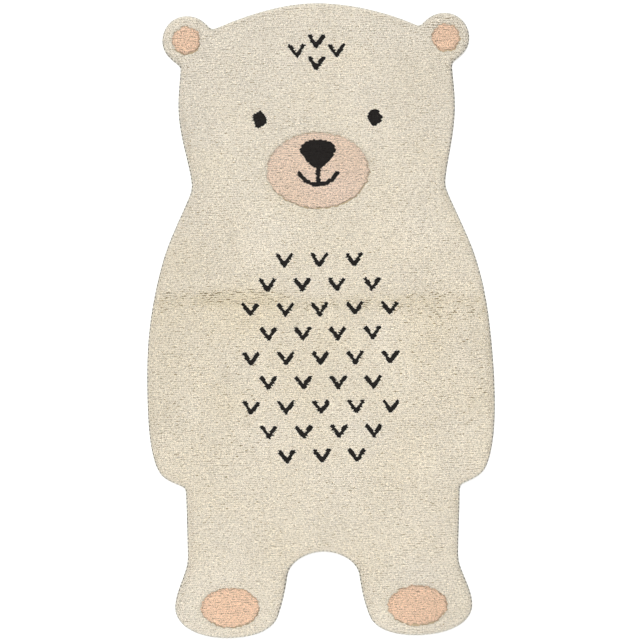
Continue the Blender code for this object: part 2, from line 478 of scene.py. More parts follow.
# %% Patches
PATCHES = (
    # yarn        place        x      y       half width  half height
    ("blush",     "muzzle",    0.000,  0.318,  0.108,      0.080),
    ("peach",     "ear",       0.276,  0.597,  0.029,      0.029),
    ("peach",     "foot_pad",  0.199, -0.608,  0.062,      0.042),
    ("charcoal",  "eye",       0.122,  0.428,  0.0150,     0.0175),
)
BORDER_WANDER = 0.0014
BORDER_CLOUDS = (0.010, 21)        # size and seed of the wander


def oval_depth(places, x, y, half_width, half_height):
    dx = places[:, 0] - x
    dy = places[:, 1] - y
    reach = np.sqrt((dx / half_width) ** 2 + (dy / half_height) ** 2) + TINY
    return np.hypot(dx, dy) * (1.0 / reach - 1.0)


def oval_outward(places, x, y, half_width, half_height):
    """The direction straight out of the oval at each place."""
    slope = np.column_stack([(places[:, 0] - x) / half_width ** 2, (places[:, 1] - y) / half_height ** 2])
    return slope / (np.linalg.norm(slope, axis=1, keepdims=True) + TINY)


def patch_depths(places):
    """A yarn, a depth and an outward direction for each patch, on both sides of the middle line."""
    found = []
    for yarn, place, x, y, half_width, half_height in PATCHES:
        oval = (np.where(places[:, 0] < 0, -x, x), y, half_width, half_height)
        depth = oval_depth(places, *oval) + BORDER_WANDER * slow_clouds(places, *BORDER_CLOUDS)
        found.append((yarn, depth, oval_outward(places, *oval)))
    return found


print("patches:", ", ".join(patch[1] for patch in PATCHES))

# %% [markdown]
# The nose is an oval whose width grows towards its top. The mouth and the ticks are strokes, as if drawn with
# the tufting gun: a tuft belongs to one if it stands within half the stroke's width of its line. A few points
# are enough to say where a line runs.

# %% Nose, mouth and ticks
NOSE = (0.0, 0.353, 0.049, 0.031)  # x, y, half width, half height
NOSE_TAPER = 0.30
MOUTH_STROKE = 0.0090
LIP_LINE = ((0.0, 0.330), (0.0, 0.290))
SMILE_CENTRE = (0.0, 0.333)
SMILE_RADIUS = 0.045
SMILE_HALF_ANGLE = radians(62)
SMILE_STEPS = 12
TICK_STROKE = 0.0084
TICK_REACH = 0.0140                # sideways from a tick's point
TICK_RISE = 0.0205
BELLY = (0.0, -0.080, 0.178, 0.245)
BELLY_PITCH = (0.074, 0.052)
FOREHEAD_TICKS = ((-0.042, 0.572), (0.0, 0.592), (0.042, 0.572), (0.0, 0.545))


def nose_depth(places):
    x, y, half_width, half_height = NOSE
    up = np.clip((places[:, 1] - y) / half_height, -1, 1)
    width = half_width * (1.0 - NOSE_TAPER + NOSE_TAPER * up)
    reach = np.sqrt(((places[:, 0] - x) / width) ** 2 + ((places[:, 1] - y) / half_height) ** 2)
    return half_height * (1.0 - reach)


def stroke_depth(places, line, width):
    """Depth inside a stroke of that width along a line of points."""
    depth = np.full(len(places), -1.0)
    for start, end in zip(line[:-1], line[1:]):
        start, step = np.array(start), np.array(end) - np.array(start)
        share = np.clip((places - start) @ step / (step @ step), 0, 1)
        gap = np.linalg.norm(places - start - share[:, None] * step, axis=1)
        depth = np.maximum(depth, width / 2 - gap)
    return depth


def smile_line():
    x, y = SMILE_CENTRE
    angles = np.linspace(-pi / 2 - SMILE_HALF_ANGLE, -pi / 2 + SMILE_HALF_ANGLE, SMILE_STEPS)
    return [(x + SMILE_RADIUS * cos(angle), y + SMILE_RADIUS * sin(angle)) for angle in angles]


def tick_line(x, y):
    top = y + TICK_RISE / 2
    return ((x - TICK_REACH, top), (x, y - TICK_RISE / 2), (x + TICK_REACH, top))


def belly_ticks():
    """The ticks' places: rows in an oval, each shifted half a step from the last."""
    x0, y0, half_width, half_height = BELLY
    rows = int(half_height / BELLY_PITCH[1])
    columns = int(half_width / BELLY_PITCH[0]) + 1
    found = []
    for row in range(-rows, rows + 1):
        for column in range(-columns, columns + 1):
            x = x0 + (column + 0.5 * (row % 2)) * BELLY_PITCH[0]
            y = y0 + row * BELLY_PITCH[1]
            if ((x - x0) / half_width) ** 2 + ((y - y0) / half_height) ** 2 < 1:
                found.append((x, y))
    return found


ticks = belly_ticks() + list(FOREHEAD_TICKS)
print(f"{len(ticks)} ticks")

# %% [markdown]
# The yarn of each tuft is that of the last motif that it stands in, and natural cotton where it stands in
# none. The pale patches get a groove later on, so each tuft also keeps its depth in the nearest of them.

# %% Choose the yarns
YARNS = ("natural", "blush", "peach", "charcoal")


def choose_yarns(places):
    """The yarn of each tuft, its depth inside the nearest pale patch, and the way out of that patch."""
    yarn = np.zeros(len(places), int)
    patch_depth = np.full(len(places), -1.0)
    patch_way_out = np.zeros((len(places), 2))
    for name, depth, way_out in patch_depths(places):
        yarn[depth > 0] = YARNS.index(name)
        if name != "charcoal":
            nearer = np.abs(depth) < np.abs(patch_depth)
            patch_depth[nearer] = depth[nearer]
            patch_way_out[nearer] = way_out[nearer]
    lines = [(LIP_LINE, MOUTH_STROKE), (smile_line(), MOUTH_STROKE)]
    lines += [(tick_line(x, y), TICK_STROKE) for x, y in ticks]
    for line, width in lines:
        yarn[stroke_depth(places, line, width) > 0] = YARNS.index("charcoal")
    yarn[nose_depth(places) > 0] = YARNS.index("charcoal")
    return yarn, patch_depth, patch_way_out


yarn_of, patch_depth, patch_way_out = choose_yarns(places)
print({name: int(np.sum(yarn_of == index)) for index, name in enumerate(YARNS)})

# %% [markdown]
# ## Carving and partings
#
# Once tufted, the maker runs shears along the border of each pale patch, which leaves a narrow groove. It
# gapes on the patch's lower right and nearly closes on its upper side, and its width is ragged. Handling also
# parts the pile along short wavy lines between rows, most of all where the rug was folded. A bump map would
# shade such lines but leave the pile flat in a low view, so both are made by moving tips: down at the line,
# and aside on its two flanks.

# %% Carve the grooves
GROOVE_DEPTH = 0.0028
GROOVE_HALF_WIDTH = 0.0030
GROOVE_OPEN = 0.0040               # how far the tips stand off the border where the groove is widest
GROOVE_WIDE_WAY = (0.50, -0.87)    # it is widest on the side of a patch that faces this way
GROOVE_NARROW = 0.28               # its width elsewhere, as a share
GROOVE_RAGGED = (0.8, 0.4)         # mean and spread of its changes of width along the border
GROOVE_WIDEST = 1.3
GROOVE_CLOUDS = (0.008, 14)

facing = np.clip(patch_way_out @ np.array(GROOVE_WIDE_WAY), 0, 1)
ragged = GROOVE_RAGGED[0] + GROOVE_RAGGED[1] * slow_clouds(places, *GROOVE_CLOUDS)
groove_width = (GROOVE_NARROW + (1.0 - GROOVE_NARROW) * facing) * np.clip(ragged, 0, GROOVE_WIDEST)
groove = np.exp(-(patch_depth / GROOVE_HALF_WIDTH) ** 2)
aside = np.hypot(patch_depth, GROOVE_OPEN * groove_width) - np.abs(patch_depth)
tips[:, :2] -= (np.sign(patch_depth) * aside * groove)[:, None] * patch_way_out
tips[:, 2] -= GROOVE_DEPTH * groove
print(f"{int(np.sum(groove > 0.5))} tufts sheared low")

# %% [markdown]
# A parting follows the gap between two rows. So each gap is walked from left to right within listed
# zones, and opened and left closed by turns. In the zones of the fold a third to three fifths of a gap is
# open, and elsewhere a tenth or so. Each line slants and waves a little in its own way.

# %% Lines of the partings
PARTING_ZONES = (
    # zone              x       y      half width  half height  share open  length  width
    ("fold_left",      -0.175,  0.051,  0.100,      0.018,       0.60,       0.017,  0.80),
    ("fold_left_end",  -0.270,  0.044,  0.090,      0.024,       0.30,       0.012,  0.75),
    ("fold_middle",     0.060,  0.030,  0.130,      0.012,       0.48,       0.014,  0.80),
    ("fold_right",      0.255,  0.027,  0.110,      0.030,       0.30,       0.010,  0.85),
    ("hip_left",       -0.240, -0.180,  0.110,      0.170,       0.06,       0.006,  0.80),
    ("hip_right",       0.260, -0.090,  0.100,      0.170,       0.08,       0.006,  0.80),
    ("legs",            0.000, -0.440,  0.290,      0.120,       0.06,       0.006,  0.70),
    ("all_over",        0.000,  0.000,  0.360,      0.660,       0.16,       0.006,  0.52),
)
PARTING_TILT = 0.13
PARTING_WAVE = (0.0011, 0.013)     # height and length of the waves in a line
LENGTH_RANGE = (0.5, 1.5)          # shortest and longest, in shares of the zone's length
WIDTH_RANGE = (0.5, 1.2)
CLOSED_RANGE = (0.4, 1.6)          # the closed stretches between two partings
PARTING_SEED = 29

Parting = namedtuple("Parting", "middle gap half tilt start width")


def walk_partings():
    """Openings along the gaps between rows, each with a length, a tilt, waves and a width of its own."""
    draw = np.random.default_rng(PARTING_SEED)
    found = []
    for zone, x, y, half_width, half_height, share, length, width in PARTING_ZONES:
        gaps = np.arange(cad_low.y + ROW_PITCH / 2, y + half_height, ROW_PITCH)
        for gap in gaps[gaps > y - half_height]:
            reach = half_width * np.sqrt(1.0 - ((gap - y) / half_height) ** 2)
            closed = length * (1.0 / share - 1.0)
            at = x - reach + closed * draw.uniform(0, 1)
            while at < x + reach:
                half = 0.5 * length * draw.uniform(*LENGTH_RANGE)
                tilt = draw.normal(0.0, PARTING_TILT)
                start = draw.uniform(0, tau)
                found.append(Parting(at + half, gap, half, tilt, start, width * draw.uniform(*WIDTH_RANGE)))
                at += 2.0 * half + closed * draw.uniform(*CLOSED_RANGE)
    return found


def parting_line(parting, x):
    """The line's place up the rug at each x."""
    height, length = PARTING_WAVE
    slanted = parting.gap + parting.tilt * (x - parting.middle)
    wave = height * np.sin(tau * x / length + parting.start)
    return slanted + wave + row_drift(np.column_stack([x, np.full(len(x), parting.gap)]))


def openness(parting, x):
    """1 at the middle of a parting, 0 at its ends and beyond."""
    return np.sqrt(np.clip(1.0 - ((x - parting.middle) / parting.half) ** 2, 0, 1))


partings = walk_partings()
print(f"{len(partings)} partings")

# %% [markdown]
# Tips next to a line are pushed off it so far that none stands nearer than the opening's half width, and the
# push dies away from there. Tufts at a parting are also squeezed together, so that the gap between them is a
# clean one.

# %% Open the partings
PARTING_OPEN = 0.0015              # how far a parting of full width pushes a tip that stands on its line
PARTING_REACH = 0.0075             # tufts further off than this are left alone
PARTING_FLANK = 0.0030             # tufts within about this distance are squeezed
PARTING_DROP = 0.0004


def open_partings():
    """Pushes the tips apart. Returns how open the pile is at each tuft."""
    opened = np.zeros(len(places))
    upward = np.argsort(places[:, 1])
    for parting in partings:
        reach = (parting.gap - PARTING_REACH, parting.gap + PARTING_REACH)
        first, last = np.searchsorted(places[upward, 1], reach)
        band = upward[first:last]
        near = band[np.abs(places[band, 0] - parting.middle) < parting.half]
        aside = tips[near, 1] - parting_line(parting, tips[near, 0])
        share = parting.width * openness(parting, tips[near, 0])
        tips[near, 1] += np.sign(aside) * (np.hypot(aside, PARTING_OPEN * share) - np.abs(aside))
        opened[near] = np.maximum(opened[near], share * np.exp(-(aside / PARTING_FLANK) ** 2))
    tips[:, 2] -= PARTING_DROP * opened
    return opened


opened = open_partings()
print(f"{int(np.sum(opened > 0.5))} tufts at partings")

# %% [markdown]
# Feet and folding leave the nap lying one way here and another way there, so that wide soft patches of a rug
# catch the light a little more or less, and creased pile looks warmer, since its shaded flanks show. Both are
# painted into the colour here: a table of soft ovals places painted light and shade, with painted shade along
# the fold, and warmth, which in the creases is a painted tint of shaded flanks. Where ovals overlap their
# steps add up, so a warmth below zero takes some away again.

# %% Nap patches
NAP_LIGHT_PATCHES = (
    # place            x       y      half width  half height  shade   warmth
    ("body",           0.000, -0.150,  0.700,      0.450,       0.000,  0.28),
    ("fold",          -0.020,  0.038,  0.330,      0.014,      -0.030,  0.18),
    ("fold_left",     -0.200,  0.049,  0.120,      0.017,      -0.020,  0.20),
    ("under_fold",    -0.180,  0.020,  0.120,      0.060,       0.000,  0.32),
    ("fold_right",     0.210, -0.015,  0.070,      0.080,      -0.005,  0.22),
    ("belly",         -0.040, -0.080,  0.070,      0.110,      -0.012,  0.16),
    ("lower_belly",    0.000, -0.300,  0.150,      0.130,       0.022, -0.10),
    ("right_side",     0.170, -0.080,  0.055,      0.150,       0.024, -0.05),
    ("right_flank",    0.345, -0.090,  0.040,      0.120,      -0.038,  0.15),
    ("left_side",     -0.345, -0.080,  0.050,      0.230,      -0.030,  0.14),
    ("left_arm",      -0.270, -0.150,  0.080,      0.150,      -0.020,  0.05),
    ("left_shoulder", -0.260,  0.130,  0.100,      0.100,      -0.040,  0.06),
    ("left_breast",   -0.110,  0.170,  0.055,      0.060,       0.030, -0.20),
    ("right_breast",   0.175,  0.165,  0.065,      0.070,       0.012,  0.00),
    ("head",           0.000,  0.480,  0.500,      0.240,      -0.016,  0.10),
    ("left_cheek",    -0.270,  0.370,  0.055,      0.150,      -0.045, -0.10),
    ("left_brow",     -0.170,  0.570,  0.150,      0.120,      -0.030, -0.14),
    ("right_brow",     0.240,  0.560,  0.110,      0.140,      -0.045,  0.00),
    ("right_cheek",    0.265,  0.280,  0.045,      0.070,      -0.020,  0.06),
    ("ears",           0.000,  0.640,  0.360,      0.050,      -0.014, -0.06),
    ("left_leg",      -0.225, -0.470,  0.060,      0.090,       0.010,  0.00),
    ("left_sole",     -0.150, -0.615,  0.130,      0.065,       0.034,  0.00),
    ("right_sole",     0.090, -0.640,  0.060,      0.045,       0.045,  0.05),
    ("right_foot",     0.255, -0.610,  0.070,      0.080,      -0.056,  0.00),
)


def nap_patches():
    """How much painted light and shade, and how much warmth, each tuft gets for where it stands."""
    lighter = np.zeros(len(places))
    warmer = np.zeros(len(places))
    for place, x, y, half_width, half_height, shade_step, warmth_step in NAP_LIGHT_PATCHES:
        reach = ((places[:, 0] - x) / half_width) ** 2 + ((places[:, 1] - y) / half_height) ** 2
        lighter += shade_step * np.exp(-reach ** 2)
        warmer += warmth_step * np.exp(-reach ** 2)
    return lighter, warmer


patch_shade, patch_warmth = nap_patches()
print(f"patches from {patch_shade.min():.3f} to {patch_shade.max():.3f}")

# %% [markdown]
# Tufts differ a little from their neighbours in tone. Most keep near the common tone and a few are much
# darker, which is painted shade for small pits where a bunch of yarn has split open. What a tuft gains, its
# two neighbours in the row lose, so the flecks stay as fine as the tufts, and slow clouds of painted light and
# shade come on top. Tufts in a groove, at a parting or on the slopes along the sides get painted shade, darker
# than their height alone makes them, and parted tufts get a painted warm tint for their shaded flanks.

# %% Shade and warmth of each tuft
# tone of each tuft; its dark tail is painted shade for pits
TUFT_SHADE = 0.056
# painted light and shade in slow clouds
CLOUD_SHADE = 0.010
SHADE_CLOUDS = (0.09, 8)           # size and seed
# painted shade at the partings
PARTING_SHADE = 0.04
# painted shade in the grooves
GROOVE_SHADE = 0.17
GROOVE_CLOSED = 0.5                # the share of it where a groove is closed
# painted shade on the side slopes
SIDE_SHADE = 0.06                  # on the slopes along the two long sides
SHADE_RANGE = (0.6, 1.25)
# painted warm tint for the shaded flanks of parted tufts
PARTING_WARMTH = 0.5
CLOUD_WARMTH = 0.08
WARMTH_CLOUDS = (0.08, 12)

fleck = TUFT_SHADE * (1.0 - dice.exponential(1.0, len(places)))
shade = 1.0 + fleck - 0.5 * (np.roll(fleck, 1) + np.roll(fleck, -1))
shade += patch_shade + CLOUD_SHADE * slow_clouds(places, *SHADE_CLOUDS)
shade -= PARTING_SHADE * opened + GROOVE_SHADE * groove * (GROOVE_CLOSED + groove_width)
sideways = np.concatenate([near_edge * field_way_out[:, 0], rim_way_out[:, 0]])
shade -= SIDE_SHADE * sideways ** 2
shade = np.clip(shade, *SHADE_RANGE)
warmth = patch_warmth + PARTING_WARMTH * opened + CLOUD_WARMTH * slow_clouds(places, *WARMTH_CLOUDS)
warmth = np.clip(warmth, 0, 1)
print(f"shade from {shade.min():.2f} to {shade.max():.2f}, warmth up to {warmth.max():.2f}")

# %% [markdown]
# ## One tuft
#
# A tuft is a bunch of cotton, narrow where it leaves the cloth and spread at its cut end. Hair could grow
# every fibre, but would come to many millions of faces. A cone standing on its point gives the bunch with six
# points and eight faces, and that is cheap enough for tens of thousands. Its flat end is made uneven later,
# and smooth shading rounds it.

# %% Model one tuft
TUFT_SIDES = 5


def point_and_face_arrays(shape):
    """A finished bmesh as arrays, ready to be copied many times."""
    bmesh.ops.triangulate(shape, faces=shape.faces)
    bmesh.ops.recalc_face_normals(shape, faces=shape.faces)
    shape.verts.index_update()
    points = np.array([vertex.co for vertex in shape.verts])
    faces = np.array([[vertex.index for vertex in face.verts] for face in shape.faces])
    shape.free()
    return points, faces


def model_tuft():
    """A tuft of unit length and radius."""
    shape = bmesh.new()
    bmesh.ops.create_cone(shape, cap_ends=True, segments=TUFT_SIDES, radius1=0.0, radius2=1.0, depth=1.0)
    bmesh.ops.translate(shape, verts=shape.verts, vec=(0, 0, 0.5))
    return point_and_face_arrays(shape)


tuft_points, tuft_faces = model_tuft()
at_end = tuft_points[:, 2] > 0.5   # the points of the flat end
print(f"one tuft: {len(tuft_points)} points, {len(tuft_faces)} faces")

# %% [markdown]
# An object for each tuft would make the scene very slow, so the copies are made with arrays and joined in one
# mesh for each piece. Every tuft has its own axis from root to tip, its own turn about it, and a little
# random change at each point, so no two are alike.
#
# The map for baking is laid out here as well. Seen from above, the caps of all tufts already lie side by
# side, so their places on the rug are their places on the map, in its left half. The hidden flanks go in the
# right half.

# %% Copy the tufts
TUFT_RADIUS = 0.00205
TUFT_SPREAD = (1.20, 0.80)         # leaning yarn looks wide along the row and short across it
RADIUS_WANDER = 0.08
PARTING_SQUEEZE = 0.15             # how much of its width a tuft loses at an open parting
POINT_WANDER = (0.00010, 0.00010, 0.00030)
MAP_NAME = "OFBake"
MAP_SPREAD = 0.70                  # a cap's size on the map, so that neighbours don't overlap there
MAP_MARGIN = 1.002                 # keeps the outermost caps off the map's border


def tuft_coordinates(root, tip, width):
    """Every point of every tuft, as an array of tufts by points by three."""
    count = len(root)
    axis = tip - root
    length = np.linalg.norm(axis, axis=1, keepdims=True)
    along = axis / length
    side = np.cross(along, np.array([0.0, 1.0, 0.0]))
    side /= np.linalg.norm(side, axis=1, keepdims=True)
    other = np.cross(along, side)
    turn = dice.uniform(0, tau, (count, 1))
    uneven = 1.0 + dice.normal(0.0, RADIUS_WANDER, (count, len(tuft_points)))
    radius = TUFT_RADIUS * width[:, None] * uneven
    x = TUFT_SPREAD[0] * radius * (tuft_points[:, 0] * np.cos(turn) - tuft_points[:, 1] * np.sin(turn))
    y = TUFT_SPREAD[1] * radius * (tuft_points[:, 0] * np.sin(turn) + tuft_points[:, 1] * np.cos(turn))
    points = root[:, None, :] + axis[:, None, :] * tuft_points[:, 2][None, :, None]
    points += side[:, None, :] * x[..., None] + other[:, None, :] * y[..., None]
    points += dice.normal(0.0, POINT_WANDER, points.shape) * at_end[None, :, None]
    return points


def joined_mesh(name, points, faces):
    """One mesh of many copies: points is copies by points by three, faces is one copy's triangles."""
    copies, each = points.shape[:2]
    corners = (np.arange(copies)[:, None, None] * each + faces).ravel().astype(np.int32)
    mesh = bpy.data.meshes.new(name)
    mesh.vertices.add(copies * each)
    mesh.vertices.foreach_set("co", points.reshape(-1).astype(np.float32))
    mesh.loops.add(len(corners))
    mesh.loops.foreach_set("vertex_index", corners)
    mesh.polygons.add(len(corners) // 3)
    mesh.polygons.foreach_set("loop_start", np.arange(0, len(corners), 3, dtype=np.int32))
    mesh.update(calc_edges=True)
    mesh.shade_smooth()
    return mesh


def add_point_values(mesh, name, values):
    layer = mesh.attributes.new(name, "FLOAT", "POINT")
    layer.data.foreach_set("value", np.asarray(values, np.float32).ravel())


def add_tuft_map(mesh, points, root, tip):
    """Caps by their place in the left half, flanks in the right half."""
    middle = (0.5 * (root + tip))[:, None, :2]
    flat = middle + (points[..., :2] - middle) * MAP_SPREAD
    low = flat.reshape(-1, 2).min(axis=0)
    size = max((flat.reshape(-1, 2).max(axis=0) - low) * (2, 1)) * MAP_MARGIN
    flat = (flat - low) / size
    cap = at_end[tuft_faces].all(axis=1)
    corner = flat[:, tuft_faces]
    corner[:, ~cap, :, 0] += 0.5
    layer = mesh.uv_layers.new(name=MAP_NAME)
    layer.uv.foreach_set("vector", corner.reshape(-1).astype(np.float32))


print(f"tufts are {2 * MM * TUFT_RADIUS:.1f} mm across at a pitch of {MM * TUFT_PITCH:.1f} mm")

# %% [markdown]
# ## Yarn
#
# Cotton yarn is dull, with a faint fuzz that catches light at a low angle: high roughness and some sheen. Its
# colour turns darker down in the pile, since little light gets there, and each tuft brings its own shade and
# warmth.
#
# A cut tuft shows the ends of its plies, and each ply the ends of its fibres. The cells of a Voronoi texture
# stand for the plies, each of its own tone and paler in the middle, with painted shade at its border where one
# ply meets the next, and a finer noise stands for the fibres.
# Both work on colour and bump, are laid on Object coordinates, which are the rug's own, and are drawn out
# upwards, as the strands stand on end. A node with its settings, values and links is made in one call of a
# helper.

# %% One node in one call


def add_node(tree, kind, inputs=None, **settings):
    """A new node. An input that is given a socket is linked to it, and any other gets the value."""
    node = tree.nodes.new("ShaderNode" + kind)
    for name, value in settings.items():
        setattr(node, name, value)
    for name, value in (inputs or {}).items():
        if isinstance(value, bpy.types.NodeSocket):
            tree.links.new(value, node.inputs[name])
        else:
            node.inputs[name].default_value = value
    return node


print("a node's settings, values and links now fit in one call")

# %% Yarn material
YARN_ROUGHNESS = 0.93
YARN_GLOSS = 0.15
SHEEN_ROUGHNESS = 0.5
DEEP_BELOW = 0.45                  # heights on a tuft, as shares, where the deep colour ends
LIT_ABOVE = 0.97                   # and where the lit one starts
END_SCALE = 880.0                  # plies end a little under a millimetre apart
END_REACH = 0.75                   # how far, in the cells' own measure, an end falls off to its border
# the darker border of an end is painted shade between the plies
END_LIGHT = (0.84, 1.10)           # colour at the border of an end and at its middle
PLY_LIGHT = (0.64, 1.34)           # each end also has a shade of its own
END_BUMP = (0.8, 0.0006)           # strength and height
FIBRE_SCALE = 5200.0
FIBRE_DETAIL = 2.0
FIBRE_LIGHT = (0.88, 1.12)
FIBRE_BUMP = (0.7, 0.00025)
STRAND_STRETCH = 0.14              # the scale upwards, as a share of the scale across
WARM_TINT = (1.0, 0.965, 0.86)     # what full warmth does to a colour


def point_value(tree, name):
    """The value that a mesh keeps at its points under that name."""
    return add_node(tree, "Attribute", attribute_name=name).outputs["Fac"]


def yarn_material(name, lit, deep, sheen):
    material, tree, shader = new_material(name, YARN_ROUGHNESS, YARN_GLOSS)
    shader.inputs["Sheen Weight"].default_value = sheen
    shader.inputs["Sheen Roughness"].default_value = SHEEN_ROUGHNESS

    place = add_node(tree, "TexCoord").outputs["Object"]
    strands = add_node(tree, "Mapping", {
        "Vector": place, "Scale": (1.0, 1.0, STRAND_STRETCH)}).outputs["Vector"]
    cells = add_node(tree, "TexVoronoi", {"Vector": strands, "Scale": END_SCALE})
    ends = add_node(tree, "MapRange", {
        "Value": cells.outputs["Distance"], "From Min": END_REACH, "From Max": 0.0}).outputs["Result"]
    fibre = add_node(tree, "TexNoise", {
        "Vector": strands, "Scale": FIBRE_SCALE, "Detail": FIBRE_DETAIL}).outputs["Fac"]

    stand = add_node(tree, "MapRange", {
        "Value": point_value(tree, "stand"), "From Min": DEEP_BELOW, "From Max": LIT_ABOVE},
        interpolation_type="SMOOTHSTEP").outputs["Result"]
    colour = add_node(tree, "Mix", {"Factor": stand, "A": (*deep, 1.0), "B": (*lit, 1.0)}, data_type="RGBA")
    warmed = add_node(tree, "Mix", {
        "Factor": point_value(tree, "warmth"), "A": colour.outputs["Result"], "B": (*WARM_TINT, 1.0)},
        data_type="RGBA", blend_type="MULTIPLY")

    tone = point_value(tree, "shade")
    for pattern, (dark, light) in (
            (ends, END_LIGHT),
            (cells.outputs["Color"], PLY_LIGHT),
            (fibre, FIBRE_LIGHT)):
        fleck = add_node(tree, "MapRange", {"Value": pattern, "To Min": dark, "To Max": light})
        product = add_node(tree, "Math", {0: tone, 1: fleck.outputs["Result"]}, operation="MULTIPLY")
        tone = product.outputs["Value"]
    toned = add_node(tree, "VectorMath", {
        "Vector": warmed.outputs["Result"], "Scale": tone}, operation="SCALE")
    tree.links.new(toned.outputs["Vector"], shader.inputs["Base Color"])

    strength, height = END_BUMP
    bump = add_node(tree, "Bump", {"Strength": strength, "Distance": height, "Height": ends})
    strength, height = FIBRE_BUMP
    bump = add_node(tree, "Bump", {
        "Strength": strength, "Distance": height, "Height": fibre, "Normal": bump.outputs["Normal"]})
    tree.links.new(bump.outputs["Normal"], shader.inputs["Normal"])
    return material


YARN_COLOURS = {
    # yarn       lit                       deep                      sheen
    "natural":  ((0.843, 0.774, 0.650),   (0.58, 0.48, 0.32),       0.25),
    "blush":    ((0.822, 0.650, 0.520),   (0.54, 0.39, 0.29),       0.25),
    "peach":    ((0.870, 0.615, 0.440),   (0.57, 0.37, 0.23),       0.25),
    "charcoal": ((0.017, 0.0140, 0.0125), (0.007, 0.006, 0.005),    0.05),
}
yarn_materials = {name: yarn_material(f"{name}_cotton", *look) for name, look in YARN_COLOURS.items()}
print("yarns:", ", ".join(yarn_materials))

# %% [markdown]
# ## The pile
#
# All natural tufts in one mesh would be a heavy piece, so they are split into four bands from the feet to the
# head. Under each coloured tuft goes a lower and wider one, painted darker as the shade down in the pile, so
# that no other colour shows between them.

# %% Make the pile
NATURAL_BANDS = ("feet", "belly", "chest", "head")
PACKING_DROP = 0.0018
PACKING_SPREAD = 1.55
# painted shade of the lower tufts, down in the pile
PACKING_SHADE = 0.38
tuft_width = 1.0 - PARTING_SQUEEZE * opened


def pile_piece(name, chosen, material, packed):
    """One mesh of the chosen tufts, with a lower tuft under each where they are packed."""
    root = roots[chosen]
    tip = tips[chosen]
    width = tuft_width[chosen]
    own_shade = shade[chosen]
    own_warmth = warmth[chosen]
    if packed:
        root = np.vstack([root, root])
        tip = np.vstack([tip, tip - (0, 0, PACKING_DROP)])
        width = np.concatenate([width, PACKING_SPREAD * width])
        own_shade = np.concatenate([own_shade, PACKING_SHADE * own_shade])
        own_warmth = np.concatenate([own_warmth, own_warmth])
    points = tuft_coordinates(root, tip, width)
    mesh = joined_mesh(name, points, tuft_faces)
    add_point_values(mesh, "shade", np.repeat(own_shade, len(tuft_points)))
    add_point_values(mesh, "warmth", np.repeat(own_warmth, len(tuft_points)))
    add_point_values(mesh, "stand", np.tile(tuft_points[:, 2], len(root)))
    add_tuft_map(mesh, points, root, tip)
    mesh.materials.append(material)
    return add_object(name, mesh)


def make_pile():
    pile = []
    natural = np.flatnonzero(yarn_of == YARNS.index("natural"))
    natural = natural[np.argsort(places[natural, 1], kind="stable")]
    for band, chosen in zip(NATURAL_BANDS, np.array_split(natural, len(NATURAL_BANDS))):
        pile.append(pile_piece(f"pile_natural_{band}", chosen, yarn_materials["natural"], False))
    for index, name in enumerate(YARNS[1:], start=1):
        chosen = np.flatnonzero(yarn_of == index)
        pile.append(pile_piece(f"pile_{name}", chosen, yarn_materials[name], True))
    return pile


pile = make_pile()
for piece in pile:
    print(f"{piece.name}: {len(piece.data.polygons)} triangles")

# %% [markdown]
# ## The ground cloth
#
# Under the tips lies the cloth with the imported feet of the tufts. It shows in the gaps between tufts, at the
# rim and from below, where it is plain woven cotton. A copy of the solid would stand as high as the tips, so
# it is modelled from the outline: the flat underside is filled, its rim is drawn up and in step by step, and
# the top is cut into a net and lowered under the solid's top.

# %% Model the ground
GROUND_RIM = (
    # step       inside the foot  height
    ("hem",      0.0000,          0.0022),
    ("wall",     0.0006,          0.0055),
    ("shoulder", 0.0022,          0.0092),
    ("crown",    0.0080,          0.0112),
)
GROUND_SINK = 0.0032               # the ground's top below the tips
NET_STEP = 0.022
CUT_TOLERANCE = 0.001
SHARP_ANGLE = radians(40)


def model_ground():
    shape = bmesh.new()
    outward = outward_of(foot_ring)
    station = shape.verts.layers.int.new("station")
    ring = [shape.verts.new((x, y, 0.0)) for x, y in foot_ring]
    for index, vertex in enumerate(ring):
        vertex[station] = index
    rim = [shape.edges.new((ring[index - 1], vertex)) for index, vertex in enumerate(ring)]
    bmesh.ops.edgeloop_fill(shape, edges=rim)
    for step, inside, height in GROUND_RIM:
        raised = bmesh.ops.extrude_edge_only(shape, edges=rim)["geom"]
        rim = [item for item in raised if isinstance(item, bmesh.types.BMEdge)]
        for vertex in (item for item in raised if isinstance(item, bmesh.types.BMVert)):
            spot = foot_ring[vertex[station]] - outward[vertex[station]] * inside
            vertex.co = (spot[0], spot[1], height)
    top = bmesh.ops.edgeloop_fill(shape, edges=rim)["faces"][0]
    net = [top] + top.edges[:] + top.verts[:]
    old = set(shape.verts)
    for axis in (0, 1):
        for at in np.arange(cad_low[axis] + NET_STEP, cad_high[axis], NET_STEP):
            point = Vector((0, 0, 0))
            point[axis] = at
            direction = Vector((axis == 0, axis == 1, 0))
            cut = bmesh.ops.bisect_plane(
                shape, geom=net, dist=CUT_TOLERANCE, plane_co=point, plane_no=direction)
            net = cut["geom"]
    for vertex in shape.verts:
        if vertex not in old and len(vertex.link_edges) > 3:
            vertex.co.z = pile_top([vertex.co[:2]])[0] - GROUND_SINK
    bmesh.ops.triangulate(shape, faces=shape.faces)
    bmesh.ops.recalc_face_normals(shape, faces=shape.faces)
    mesh = bpy.data.meshes.new("ground_cloth")
    shape.to_mesh(mesh)
    shape.free()
    mesh.shade_smooth()
    mesh.set_sharp_from_angle(angle=SHARP_ANGLE)
    return add_object("ground_cloth", mesh)


ground = model_ground()
print(f"ground cloth: {len(ground.data.polygons)} triangles")

# %% [markdown]
# A plain weave shows whichever thread lies on top. Two wave textures at right angles, one for each direction
# of thread, with the higher of the two kept, give just that, and need no picture; the dips between the threads
# are painted darker, as shade. The imported feet of the tufts above use the same material in a darker colour,
# which is painted shade down in the pile, so a mask by height switches between the two.

